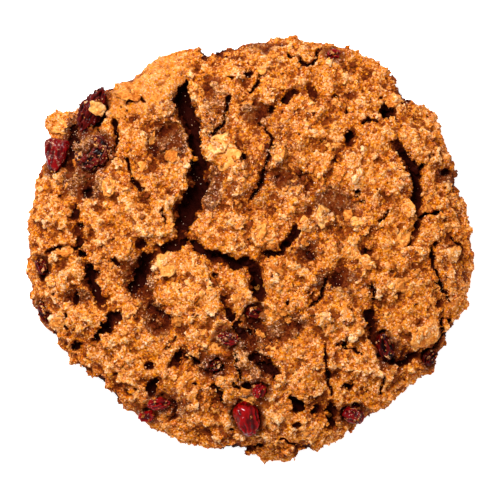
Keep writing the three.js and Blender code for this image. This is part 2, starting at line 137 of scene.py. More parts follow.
def setCoords(piece, coords):
    piece.data.vertices.foreach_set("co", coords.astype(np.float32).ravel())
    piece.data.update()


def keepInside(piece):  # inside the box of the solids
    setCoords(piece, np.clip(coordsOf(piece), cadLow, cadHigh))


def trianglesOf(piece):
    piece.data.calc_loop_triangles()
    flat = np.empty(len(piece.data.loop_triangles) * 3, np.int32)
    piece.data.loop_triangles.foreach_get("vertices", flat)
    return flat.reshape(-1, 3)


def surfaceOf(pieces):
    points = [coordsOf(piece) for piece in pieces]
    starts = np.cumsum([0] + [len(each) for each in points[:-1]])
    corners = [trianglesOf(piece) + start for piece, start in zip(pieces, starts)]
    return BVHTree.FromPolygons(np.concatenate(points).tolist(), np.concatenate(corners).tolist())


def setAttribute(piece, name, values):
    attribute = piece.data.attributes.new(name, "FLOAT", "POINT")
    attribute.data.foreach_set("value", np.asarray(values, np.float32))


def fade(value, low, high):
    share = np.clip((value - low) / (high - low), 0, 1)
    return share * share * (3 - 2 * share)


def weighVertices(piece, weights):
    steps = 20
    group = piece.vertex_groups.new(name="relief")
    levels = np.round(np.asarray(weights) * steps).astype(int)
    for level in range(1, steps + 1):
        group.add(np.flatnonzero(levels == level).tolist(), level / steps, "REPLACE")
    return group.name


def meshOfCopies(name, copies):  # copies holds (points, triangles) pairs
    points = np.concatenate([points for points, triangles in copies])
    starts = np.cumsum([0] + [len(points) for points, triangles in copies[:-1]])
    corners = np.concatenate([triangles + start for (points, triangles), start in zip(copies, starts)])
    mesh = bpy.data.meshes.new(name)
    mesh.vertices.add(len(points))
    mesh.vertices.foreach_set("co", points.astype(np.float32).ravel())
    mesh.loops.add(len(corners) * 3)
    mesh.loops.foreach_set("vertex_index", corners.astype(np.int32).ravel())
    mesh.polygons.add(len(corners))
    mesh.polygons.foreach_set("loop_start", np.arange(0, len(corners) * 3, 3, dtype=np.int32))
    mesh.update(calc_edges=True)
    mesh.validate()
    piece = bpy.data.objects.new(name, mesh)
    bpy.context.scene.collection.objects.link(piece)
    return piece


def turnedUp(normal, spin, tilt=(0, 0)):  # a rotation that lays +Z along normal
    up = Vector(normal).to_track_quat("Z", "Y").to_matrix()
    return np.array(up @ Euler((tilt[0], tilt[1], spin)).to_matrix())


def drawFrom(seed):
    state = [seed]

    def draw():
        state[0] = (state[0] * 48271) % 2147483647
        return state[0] / 2147483647
    return draw


# camera, light and floor

stageLook = {
    "lens": 200, "sensor": 36, "viewWidth": 100, "viewHeight": 2,  # viewWidth is seen at viewHeight
    "keyWatts": 1.95, "keyPlace": (-0.1, 0.15, 0.34), "keySize": (0.04, 0.2),
    "skyOverhead": 0.42, "skyAround": 1.1, "floorColour": (0.92, 0.92, 0.92, 1), "floorGlow": 0.7,
}


def makeStage():
    camera = bpy.data.objects.new("camera", bpy.data.cameras.new("camera"))
    camera.data.lens = stageLook["lens"]
    camera.data.sensor_width = stageLook["sensor"]
    camera.data.clip_start = 0.01
    camera.data.clip_end = 10
    away = stageLook["viewWidth"] * mm * stageLook["lens"] / stageLook["sensor"]
    camera.location = (0, 0, away + stageLook["viewHeight"] * mm)
    bpy.context.scene.collection.objects.link(camera)
    bpy.context.scene.camera = camera

    lamp = bpy.data.lights.new("key", "AREA")
    lamp.energy = stageLook["keyWatts"]
    lamp.shape = "RECTANGLE"
    lamp.size, lamp.size_y = stageLook["keySize"]
    key = bpy.data.objects.new("key", lamp)
    key.location = stageLook["keyPlace"]
    key.rotation_euler = (Vector((0, 0, 0)) - key.location).to_track_quat("-Z", "Y").to_euler()
    bpy.context.scene.collection.objects.link(key)

    world = bpy.data.worlds.new("studio")
    world.use_nodes = True
    nodes, links = world.node_tree.nodes, world.node_tree.links
    place = nodes.new("ShaderNodeTexCoord")
    parts = nodes.new("ShaderNodeSeparateXYZ")
    shade = nodes.new("ShaderNodeMapRange")
    shade.inputs["To Min"].default_value = stageLook["skyAround"]
    shade.inputs["To Max"].default_value = stageLook["skyOverhead"]
    links.new(place.outputs["Generated"], parts.inputs[0])
    links.new(parts.outputs["Z"], shade.inputs["Value"])
    links.new(shade.outputs["Result"], nodes["Background"].inputs["Strength"])
    nodes["Background"].inputs["Color"].default_value = (1, 1, 1, 1)
    bpy.context.scene.world = world
    bpy.context.scene.view_settings.view_transform = "Standard"

    deselectAll()
    bpy.ops.mesh.primitive_plane_add(size=4, location=(0, 0, 0))
    floor = bpy.context.object
    floor.name = "floor"
    paint = bpy.data.materials.new("paleFloor")
    paint.use_nodes = True
    sheet = paint.node_tree.nodes["Principled BSDF"].inputs
    sheet["Base Color"].default_value = stageLook["floorColour"]
    sheet["Roughness"].default_value = 0.9
    sheet["Emission Color"].default_value = (1, 1, 1, 1)
    sheet["Emission Strength"].default_value = stageLook["floorGlow"]
    floor.data.materials.append(paint)
    floor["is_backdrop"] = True
    print("stage made")


# what the materials are put together with

class Finish:
    def __init__(self, name):
        self.material = bpy.data.materials.new(name)
        self.material.use_nodes = True
        self.tree = self.material.node_tree
        self.shader = self.tree.nodes["Principled BSDF"]
        self.coords = self.node("ShaderNodeTexCoord").outputs["Object"]

    def node(self, kind, inputs=(), **settings):
        made = self.tree.nodes.new(kind)
        for key, value in settings.items():
            setattr(made, key, value)
        for key, value in dict(inputs).items():
            self.feed(made.inputs[key], value)
        return made

    def feed(self, socket, value):
        if isinstance(value, bpy.types.NodeSocket):
            self.tree.links.new(value, socket)
        elif socket.type == "RGBA":
            socket.default_value = (*value[:3], 1)
        else:
            socket.default_value = value

    def noise(self, size, detail=3, roughness=0.6):  # size in millimetres
        return self.node("ShaderNodeTexNoise", {
            "Vector": self.coords, "Scale": 1 / (size * mm), "Detail": detail, "Roughness": roughness,
        }).outputs["Fac"]

    def granules(self, size):  # each point's distance to its grain's middle, and three numbers for each grain
        stir = self.node("ShaderNodeTexNoise", {"Vector": self.coords, "Scale": 1 / (size * mm), "Detail": 1})
        shift = self.node("ShaderNodeVectorMath", {0: stir.outputs["Color"]}, operation="SCALE")
        shift.inputs["Scale"].default_value = 0.9 * size * mm
        bent = self.node("ShaderNodeVectorMath", {0: self.coords, 1: shift.outputs[0]}, operation="ADD")
        made = self.node("ShaderNodeTexVoronoi", {"Vector": bent.outputs[0], "Scale": 1 / (size * mm)})
        parts = self.node("ShaderNodeSeparateColor", {"Color": made.outputs["Color"]})
        return made.outputs["Distance"], parts.outputs[0], parts.outputs[1], parts.outputs[2]

    def attribute(self, name):
        return self.node("ShaderNodeAttribute", attribute_name=name).outputs["Fac"]

    def maths(self, operation, *values):
        made = self.node("ShaderNodeMath", operation=operation)
        for socket, value in zip(made.inputs, values):
            self.feed(socket, value)
        return made.outputs[0]

    def sum(self, *terms):  # terms are (value, weight, centre)
        total = 0.0
        for value, weight, centre in terms:
            shifted = self.maths("SUBTRACT", value, centre)
            total = self.maths("MULTIPLY_ADD", shifted, weight, total)
        return total

    def ramp(self, value, stops):
        made = self.node("ShaderNodeValToRGB", {"Fac": value})
        while len(made.color_ramp.elements) < len(stops):
            made.color_ramp.elements.new(0.5)
        for element, (place, colour) in zip(made.color_ramp.elements, stops):
            element.position = place
            element.color = (*colour, 1)
        return made.outputs["Color"]

    def span(self, value, low, high, start=0.0, end=1.0):
        return self.node("ShaderNodeMapRange", {
            "Value": value, "From Min": low, "From Max": high, "To Min": start, "To Max": end,
        }, interpolation_type="SMOOTHSTEP").outputs["Result"]

    def mix(self, share, first, second):
        made = self.node("ShaderNodeMix", data_type="RGBA")
        for socket, value in zip((made.inputs[0], made.inputs[6], made.inputs[7]), (share, first, second)):
            self.feed(socket, value)
        return made.outputs[2]

    def tint(self, colour, hue, saturation):
        made = self.node("ShaderNodeHueSaturation", {"Color": colour, "Hue": hue, "Saturation": saturation})
        return made.outputs["Color"]

    def bump(self, height, distance, strength=1.0, under=None):
        made = self.node("ShaderNodeBump", {
            "Height": height, "Distance": distance * mm, "Strength": strength})
        if under is not None:
            self.feed(made.inputs["Normal"], under)
        return made.outputs["Normal"]

    def finish(self, sockets):
        for key, value in sockets.items():
            self.feed(self.shader.inputs[key], value)
        return self.material


# the crust: the round of dough, with torn crags, crumbly lumps, cracks and pits

crustShape = {
    "firstVoxel": 0.7, "voxel": 0.28, "triangles": 196000,
    "warp": (2.0, 0.9), "grains": (0.8, 0.32), "grit": (0.5, 0.26),  # each (size, height)
    "warpFade": (0.4, 2.5), "grainFade": (0.3, 2.0),  # heights between which they set in
    "lumps": {"count": 3900, "sizes": (0.25, 1.3), "shapes": 10, "roughness": 0.55, "seed": 3},
    "crown": 13.2, "lip": 1.7, "domeShape": 2.7,  # the smooth round under the relief
    "skin": (-20.5, 32.2, 9.0, 5.0, 38),  # the unbroken patch: (x, y, across, along, turn)
    "hairWidths": (0.1, 0.5),  # half the width at a hairline's floor and at its edges
    "wander": (2100, 1900, 0.3),  # waves along x and y that the cuts' edges follow, and their height
    "smallPits": {"count": 200, "sizes": (0.2, 0.42), "depths": (0.5, 1.1), "reach": 41, "seed": 9},
}
hairlines = [  # each [depth, (x, y), (x, y), ...]
    [2.6, (7.6, 38.6), (9.8, 37.8), (11.0, 36.4), (12.5, 36.9), (13.1, 38.2), (13.5, 39.6)],
    [2.2, (2.0, 25.0), (3.9, 22.9), (4.6, 20.3)],
    [2.8, (33.5, 15.9), (34.5, 17.3), (35.9, 18.9)],
    [3.0, (33.5, 6.7), (35.5, 7.3), (37.9, 7.6)],
    [2.2, (35.7, 0.6), (36.3, -2.9), (37.2, -5.7), (39.4, -9.5)],
    [1.8, (40.0, 2.1), (42.3, 0.5)],
    [2.6, (34.3, -20.3), (36.5, -19.7), (38.1, -16.3), (38.1, -13.9)],
    [2.4, (26.3, -17.9), (26.9, -20.3), (28.3, -21.9)],
    [3.0, (23.9, -6.9), (24.5, -9.3)],
    [2.2, (-40.3, -0.5), (-37.9, 0.7), (-34.9, 0.5), (-33.1, -0.3)],
    [2.4, (-24.3, 18.1), (-23.6, 15.5), (-22.4, 12.9), (-21.1, 12.0)],
    [2.4, (-4.3, 30.2), (-4.6, 27.2), (-5.4, 24.6), (-7.9, 22.4)],
    [2.0, (0.1, 31.1), (1.7, 33.1), (2.0, 34.7)],
    [2.2, (27.1, 7.6), (25.5, 5.0)],
    [2.0, (14.9, -5.6), (14.1, -9.1), (12.1, -10.9)],
    [2.2, (21.9, -20.5), (19.5, -19.1), (17.4, -18.4)],
    [2.4, (24.9, 25.3), (23.1, 25.9), (22.1, 24.9)],
    [2.2, (26.5, -25.1), (25.9, -28.6)],
    [2.2, (-12.6, -20.6), (-10.1, -22.3)],
    [2.0, (-14.7, -17.0), (-16.3, -19.3)],
    [2.6, (-34.1, -8.5), (-34.5, -10.7)],
    [3.0, (-3.4, -26.5), (-0.4, -28.2)],
    [2.2, (-36.7, -12.7), (-36.3, -15.7)],
    [2.4, (-27.3, -1.9), (-25.8, -2.7)],
    [2.0, (-24.1, 29.3), (-22.5, 30.1), (-20.9, 29.4)],
    [2.0, (-17.3, 7.7), (-16.3, 4.3)],
    [2.2, (7.3, -10.2), (7.5, -11.7)],
    [2.6, (20.8, 11.6), (22.3, 9.4)],
    [2.0, (6.2, -37.6), (9.0, -38.7)],
    [2.0, (14.6, -18.5), (15.1, -23.5), (16.1, -28.5)],
    [2.6, (-2.9, -20.3), (-1.9, -25.3)],
    [2.2, (-6.3, -26.9), (-5.3, -29.7)],
    [2.8, (-26.9, 25.7), (-26.3, 22.7), (-26.5, 19.5)],
    [2.0, (4.7, 21.9), (3.5, 17.7), (2.3, 13.7), (0.1, 9.7)],
]
pits = [  # (x, y, radius, depth)
    (22.4, -0.3, 0.7, 1.8), (14.5, 21.8, 0.7, 1.6), (16.8, 30.3, 0.9, 1.8), (19.6, 27.5, 0.9, 2.2),
    (30.3, 29.1, 0.6, 1.5), (-0.5, 34.7, 1.1, 2.2), (-4.0, 33.9, 0.9, 2.0), (-28.1, 28.5, 0.5, 1.6),
    (30.9, 19.1, 0.5, 1.4), (-29.9, 23.6, 0.7, 1.6), (7.9, 15.3, 0.6, 1.6), (5.3, 14.3, 0.5, 1.4),
    (-1.0, 18.4, 0.9, 2.2), (-3.8, 18.6, 0.8, 1.8), (36.5, 1.2, 0.6, 1.8), (4.3, 27.7, 1.0, 2.2),
    (19.3, -26.9, 1.5, 3.0), (9.1, -34.7, 1.1, 2.2), (-3.7, -35.6, 0.7, 1.8), (-0.7, -26.9, 1.5, 3.0),
    (-10.6, -26.2, 0.7, 1.6), (-19.9, -22.9, 1.4, 2.6), (-22.9, -27.7, 0.6, 1.6), (-26.7, -24.7, 0.5, 1.4),
    (-34.3, -18.9, 1.6, 3.0), (-6.9, -4.8, 1.0, 2.2), (-13.8, -8.1, 0.5, 1.4), (-33.3, 5.1, 0.9, 2.0),
    (-31.9, 11.3, 1.4, 2.6), (-39.0, -8.8, 0.5, 1.4), (1.8, -38.9, 0.9, 2.0), (-41.3, -5.4, 1.0, 1.6),
    (25.8, 29.9, 0.5, 1.4), (22.3, 31.3, 0.5, 1.2), (-27.3, -1.9, 1.0, 1.8), (39.5, -14.1, 0.7, 1.8),
    (0.0, -16.1, 1.0, 2.2), (11.6, -8.2, 0.6, 1.4), (35.3, 26.4, 0.5, 1.2), (-7.1, -26.9, 0.9, 2.0),
    (9.9, 15.3, 0.6, 1.4), (39.0, 15.5, 1.2, 2.0),
]


def ovalReach(x, y, oval):
    centreX, centreY, reachX, reachY, turn = oval
    angle = math.radians(turn)
    across = (x - centreX) * math.cos(angle) + (y - centreY) * math.sin(angle)
    along = (y - centreY) * math.cos(angle) - (x - centreX) * math.sin(angle)
    return np.hypot(across / reachX, along / reachY)


def onSkin(points):
    return 1 - fade(ovalReach(points[:, 0] / mm, points[:, 1] / mm, crustShape["skin"]), 0.7, 1.3)


def crumbShapes(count, roughness, subdivisions=2):
    shapes = []
    for seed in range(count):
        deselectAll()
        bpy.ops.mesh.primitive_ico_sphere_add(subdivisions=subdivisions, radius=1)
        crumb = bpy.context.object
        bpy.ops.object.mode_set(mode="EDIT")
        bpy.ops.mesh.select_all(action="SELECT")
        bpy.ops.transform.resize(value=(1.0, 0.75 + 0.08 * (seed % 4), 0.8))
        bpy.ops.transform.vertex_random(offset=roughness, uniform=0.7, normal=0.3, seed=seed)
        bpy.ops.object.mode_set(mode="OBJECT")
        shapes.append((coordsOf(crumb), trianglesOf(crumb)))
        bpy.data.objects.remove(crumb)
    return shapes


def surfaceSpots(piece, count, seed, wanted):  # even over the area; wanted weighs (points, normals, corners)
    chance = np.random.default_rng(seed)
    corners = trianglesOf(piece)
    triangles = coordsOf(piece)[corners]
    cross = np.cross(triangles[:, 1] - triangles[:, 0], triangles[:, 2] - triangles[:, 0])
    areas = np.linalg.norm(cross, axis=1)
    normals = cross / np.maximum(areas, 1e-12)[:, None]
    weights = areas * wanted(triangles.mean(1), normals, corners[:, 0])
    chosen = chance.choice(len(triangles), count, p=weights / weights.sum())
    first, second = chance.random((2, count))
    flip = first + second > 1
    first[flip], second[flip] = 1 - first[flip], 1 - second[flip]
    corner = triangles[chosen]
    spots = (corner[:, 0] + (corner[:, 1] - corner[:, 0]) * first[:, None]
             + (corner[:, 2] - corner[:, 0]) * second[:, None])
    return spots, normals[chosen], corners[chosen, 0], chance


def softened(coords, values, sigma, cell=0.3):  # the values (from 0 up) evened over sigma millimetres
    low = cadLow[:2] - 6 * mm
    shape = np.ceil((cadHigh[:2] + 6 * mm - low) / (cell * mm)).astype(int)
    places = ((coords[:, :2] - low) / (cell * mm)).astype(int)
    index = (places[:, 0], places[:, 1])
    grid = np.full(shape, -1.0)
    np.maximum.at(grid, index, values)
    for _ in range(2):  # fill the cells that no vertex fell in
        around = np.max([np.roll(grid, (i, j), (0, 1)) for i in (-1, 0, 1) for j in (-1, 0, 1)], axis=0)
        grid = np.where(grid < 0, around, grid)
    cover = blurred((grid >= 0).astype(float), sigma / cell)
    return (blurred(np.maximum(grid, 0), sigma / cell) / np.maximum(cover, 0.05))[index]


def blurred(grid, sigma):  # sigma in cells
    across = np.fft.fftfreq(grid.shape[0])[:, None]
    along = np.fft.rfftfreq(grid.shape[1])[None, :]
    soften = np.exp(-2 * (np.pi * sigma) ** 2 * (across ** 2 + along ** 2))
    return np.fft.irfft2(np.fft.rfft2(grid) * soften, grid.shape)


def aboveDome(coords):  # heights over the smooth round that the relief stands on, and shares of its reach
    bearing = np.arctan2(coords[:, 1], coords[:, 0])
    radius = np.hypot(coords[:, 0], coords[:, 1])
    sectors = 60
    farthest = np.zeros(sectors)
    np.maximum.at(farthest, ((bearing / (2 * np.pi) + 0.5) * sectors).astype(int) % sectors, radius)
    even = sum(np.roll(farthest, shift) for shift in (-2, -1, 0, 1, 2)) / 5
    middles = (np.arange(sectors) + 0.5) / sectors * 2 * np.pi - np.pi
    share = radius / np.interp(bearing, middles, even, period=2 * np.pi)
    lip, crown = crustShape["lip"], crustShape["crown"]
    dome = lip + (crown - lip) * np.sqrt(1 - np.clip(share, 0, 1) ** crustShape["domeShape"])
    return coords[:, 2] / mm - dome, share


def standsOut(coords, sigma, cell=0.3):  # millimetres that each point stands above what is round it
    height, share = aboveDome(coords)
    height = height + 50  # over 0 everywhere
    return (height - softened(coords, height, sigma, cell)) * (1 - fade(share, 0.94, 0.99))


def lumpyDough(crust):  # crumbs baked into the crust, which the remesh then fuses with it
    rule = crustShape["lumps"]
    shapes = crumbShapes(rule["shapes"], rule["roughness"])
    low, high = rule["sizes"]
    rise = standsOut(coordsOf(crust), 2.5, 0.5)

    def wanted(points, normals, corners):
        outOfCrack = 0.2 + 0.8 * fade(rise[corners], -1.8, -0.6)
        return (normals[:, 2] > -0.3) * (points[:, 2] > 1.2 * mm) * (1 - 0.85 * onSkin(points)) * outOfCrack
    spots, normals, _, chance = surfaceSpots(crust, rule["count"], rule["seed"], wanted)
    copies = []
    for spot, normal in zip(spots, normals):
        points, triangles = shapes[chance.integers(len(shapes))]
        size = (low + (high - low) * chance.random() ** 3) * mm
        turn = turnedUp(normal, chance.random() * 6.28, chance.normal(0, 0.5, 2))
        centre = spot + normal * size * (0.2 - 0.5 * chance.random())
        copies.append((points * size * (0.7 + 0.6 * chance.random(3)) @ turn.T + centre, triangles))
    return meshOfCopies("lumps", copies)


def strokeDistance(places, stroke):
    best = np.full(len(places), 1e9)
    for (x0, y0), (x1, y1) in zip(stroke, stroke[1:]):
        start = np.array([x0, y0]) * mm
        way = np.array([x1 - x0, y1 - y0]) * mm
        share = np.clip(((places - start) @ way) / (way @ way), 0, 1)
        best = np.minimum(best, np.linalg.norm(places - start - share[:, None] * way, axis=1))
    return best


def smallPits():
    rule = crustShape["smallPits"]
    draw = drawFrom(rule["seed"])

    def between(low, high):
        return low + (high - low) * draw()
    made = []
    for _ in range(rule["count"]):
        bearing, radius = 2 * math.pi * draw(), rule["reach"] * math.sqrt(draw())
        made.append((radius * math.cos(bearing), radius * math.sin(bearing),
                     between(*rule["sizes"]), between(*rule["depths"])))
    return made


def cutsAt(coords):  # how deep the hairlines and pits go at each point, in metres, and how near they are
    waveX, waveY, most = crustShape["wander"]
    floor, edge = crustShape["hairWidths"]
    wander = np.sin(coords[:, 0] * waveX) * np.sin(coords[:, 1] * waveY + 1) * most * mm
    places = coords[:, :2] + wander[:, None]
    deep = np.zeros(len(coords))
    near = np.zeros(len(coords))
    for depth, *stroke in hairlines:
        closeness = 1 - fade(strokeDistance(places, stroke), floor * mm, edge * mm)
        deep = np.maximum(deep, depth * mm * closeness)
        near = np.maximum(near, closeness)
    for x, y, radius, depth in [*pits, *smallPits()]:
        away = np.hypot(places[:, 0] - x * mm, (places[:, 1] - y * mm) * 1.2)
        closeness = 1 - fade(away, 0.3 * radius * mm, radius * mm)
        deep = np.maximum(deep, depth * mm * closeness)
        near = np.maximum(near, closeness)
    return deep, near


def carve(crust):
    coords = coordsOf(crust)
    deep = cutsAt(coords)[0]
    top = (normalsOf(crust)[:, 2] > 0.1) & (coords[:, 2] > 1.5 * mm)
    coords[:, 2] = np.maximum(coords[:, 2] - top * deep, 0)
    setCoords(crust, coords)


def keepMainIsland(piece):
    pick(piece)
    lowest = int(np.argmin(coordsOf(piece)[:, 2]))
    bpy.ops.object.mode_set(mode="EDIT")
    bpy.ops.mesh.select_mode(type="VERT")
    bpy.ops.mesh.select_all(action="DESELECT")
    bpy.ops.object.mode_set(mode="OBJECT")
    piece.data.vertices[lowest].select = True
    bpy.ops.object.mode_set(mode="EDIT")
    bpy.ops.mesh.select_linked()
    bpy.ops.mesh.select_all(action="INVERT")
    bpy.ops.mesh.delete(type="VERT")
    bpy.ops.object.mode_set(mode="OBJECT")


def makeCrust():
    crust = copyOfNode("cookie", "crust")
    applyModifier(crust, "REMESH", mode="VOXEL", voxel_size=crustShape["firstVoxel"] * mm)
    start, end = crustShape["warpFade"]
    relief = weighVertices(crust, fade(coordsOf(crust)[:, 2], start * mm, end * mm))
    size, strength = crustShape["warp"]
    applyModifier(crust, "DISPLACE", direction="RGB_TO_XYZ", texture_coords="LOCAL", vertex_group=relief,
                  strength=strength * 2 * mm, mid_level=0.5,
                  texture=pattern("CLOUDS", noise_scale=size * mm, noise_depth=2, cloud_type="COLOR"))
    lumps = lumpyDough(crust)
    pick(crust)
    lumps.select_set(True)
    bpy.ops.object.join()
    applyModifier(crust, "REMESH", mode="VOXEL", voxel_size=crustShape["voxel"] * mm)
    keepMainIsland(crust)
    print("crust fused", len(crust.data.polygons))
    coords = coordsOf(crust)
    crust.vertex_groups.clear()
    start, end = crustShape["grainFade"]
    relief = weighVertices(crust, fade(coords[:, 2], start * mm, end * mm) * (1 - 0.6 * onSkin(coords)))
    size, strength = crustShape["grains"]
    applyModifier(crust, "DISPLACE", texture_coords="LOCAL", vertex_group=relief,
                  strength=-strength * mm, mid_level=0.35,
                  texture=pattern("VORONOI", noise_scale=size * mm, distance_metric="DISTANCE"))
    size, strength = crustShape["grit"]
    applyModifier(crust, "DISPLACE", texture_coords="LOCAL", vertex_group=relief,
                  strength=strength * 2 * mm, mid_level=0.5,
                  texture=pattern("CLOUDS", noise_scale=size * mm, noise_depth=1, noise_type="HARD_NOISE"))
    crust.vertex_groups.clear()
    carve(crust)
    applyModifier(crust, "DECIMATE", ratio=crustShape["triangles"] / len(trianglesOf(crust)))
    keepInside(crust)
    print("crust carved", len(trianglesOf(crust)))
    return crust


# the crust's colours

doughLook = {
    "granules": 0.5, "fineGranules": 0.32,
    "reliefReach": (0.6, 1.8, 4.5),  # what fine, middle and broad relief are measured over
    "stainReach": 2.2,  # how far from the berries the dough is darkened
    "crust": [(0.0, (0.075, 0.0040, 0.0003)), (0.2, (0.22, 0.027, 0.0008)), (0.4, (0.48, 0.107, 0.0055)),
              (0.56, (0.69, 0.205, 0.020)), (0.76, (0.82, 0.350, 0.092)), (1.0, (0.87, 0.56, 0.30))],
    "crumb": [(0.0, (0.024, 0.0035, 0.0012)), (0.3, (0.11, 0.027, 0.008)), (0.6, (0.33, 0.115, 0.036)),
              (0.85, (0.64, 0.28, 0.10))],
    # hollow: the colours of hollows, darker as they deepen: painted shade
    "hollow": [(0.0, (0.36, 0.080, 0.008)), (0.35, (0.21, 0.036, 0.003)), (0.65, (0.085, 0.0085, 0.0007)),
               (1.0, (0.028, 0.0018, 0.0002))],
    # crease and pore: darker colours painted into fine creases and tiny pits, painted shade
    "skin": (0.66, 0.24, 0.055), "crease": (0.16, 0.020, 0.0012), "pore": (0.09, 0.007, 0.0005),
    "stain": (0.11, 0.010, 0.0022), "frost": (0.90, 0.56, 0.40),
}
tornPatches = [  # where the moist brown crumb inside shows: (x, y, across, along, turn, how much of it)
    (-16.1, 21.1, 4.6, 4.4, 0, 1.0), (-7.3, 11.7, 2.2, 5.2, -8, 0.9), (0.9, 27.1, 3.6, 2.6, 0, 0.8),
    (7.5, 14.1, 4.2, 2.2, 0, 0.8), (16.7, 9.1, 5.0, 3.0, -15, 0.9), (16.5, -5.9, 4.8, 2.2, 10, 0.9),
    (11.5, -0.3, 2.2, 2.8, 0, 0.8), (6.9, -15.5, 5.2, 2.5, 25, 0.9), (0.5, -17.1, 2.4, 4.4, 0, 1.0),
    (-7.3, -22.7, 3.4, 2.6, 0, 1.0), (-18.6, -13.6, 2.8, 4.4, 25, 0.9), (-22.1, -5.5, 3.4, 4.8, 15, 0.9),
    (-33.7, 12.9, 4.6, 3.0, -20, 0.9), (-35.3, 21.3, 1.9, 6.2, 0, 0.9), (-33.9, -9.1, 3.4, 1.7, 0, 0.8),
    (39.0, 14.6, 2.6, 1.5, 0, 0.9), (2.5, 40.1, 4.0, 1.6, 0, 0.6), (3.1, 17.3, 10.0, 12.0, 0, 0.4),
    (15.5, 8.5, 8.0, 6.0, 0, 0.45), (-19.5, 20.5, 5.5, 9.0, 0, 0.35), (-6.9, 27.0, 3.0, 9.0, 0, 0.55),
    (-14.0, 25.5, 3.0, 8.0, 10, 0.6), (19.5, -7.5, 7.0, 2.6, 0, 0.5), (0.3, -23.5, 4.5, 6.5, 0, 0.55),
    (-15.5, -30.5, 4.0, 3.6, 0, 0.6), (27.5, -20.5, 3.6, 4.4, 0, 0.5), (-30.9, 12.5, 3.5, 3.0, 0, 0.8),
    # the last two patches, in the curled berry's hollow, darken it: painted shade as well as moist crumb
    (-31.3, 19.9, 3.4, 3.2, 0, 1.0), (-34.3, 23.5, 2.0, 3.6, 0, 1.0),
]


def nearTo(pieces, coords, reach):  # from 1 against the pieces down to 0 at reach millimetres away
    surface = surfaceOf(pieces)
    away = np.full(len(coords), float(reach))
    for index, point in enumerate(coords.tolist()):
        distance = surface.find_nearest(point, reach * mm)[3]
        if distance is not None:
            away[index] = distance / mm
    return 1 - fade(away, 0.25 * reach, reach)


def readRelief(crust, berries):  # what the colours follow, from 0 to 1 at each vertex; the relief and depth measures drive painted highlight on what stands out and painted shade in hollows
    coords = coordsOf(crust)
    x, y = coords[:, 0] / mm, coords[:, 1] / mm
    ragged = [share * (1 - fade(ovalReach(x, y, oval), 0.6, 1.25)) for *oval, share in tornPatches]
    fine, middle, broad = (standsOut(coords, sigma) for sigma in doughLook["reliefReach"])
    depth = np.clip(np.maximum(-middle / 2.6, -broad / 4.0), 0, 1)
    relief = {
        "fine": np.clip(0.5 + fine / 1.6, 0, 1),
        "crease": fade(-fine, 0.05, 0.5),
        "middle": np.clip(0.5 + middle / 4.0, 0, 1),
        "broad": np.clip(0.5 + broad / 8.0, 0, 1),
        "depth": depth,
        # gloom: the depth of the hollows spread wider, which darkens the tone: painted shade
        "gloom": np.clip(softened(coords, fade(depth, 0.25, 0.7), 1.3) * 1.6, 0, 1),
        "cut": cutsAt(coords)[1] * (normalsOf(crust)[:, 2] > -0.2),
        "torn": np.max(ragged, axis=0),
        "skin": onSkin(coords),
        "stain": nearTo(berries, coords, doughLook["stainReach"]),
    }
    for name, values in relief.items():
        setAttribute(crust, name, values)
    return relief


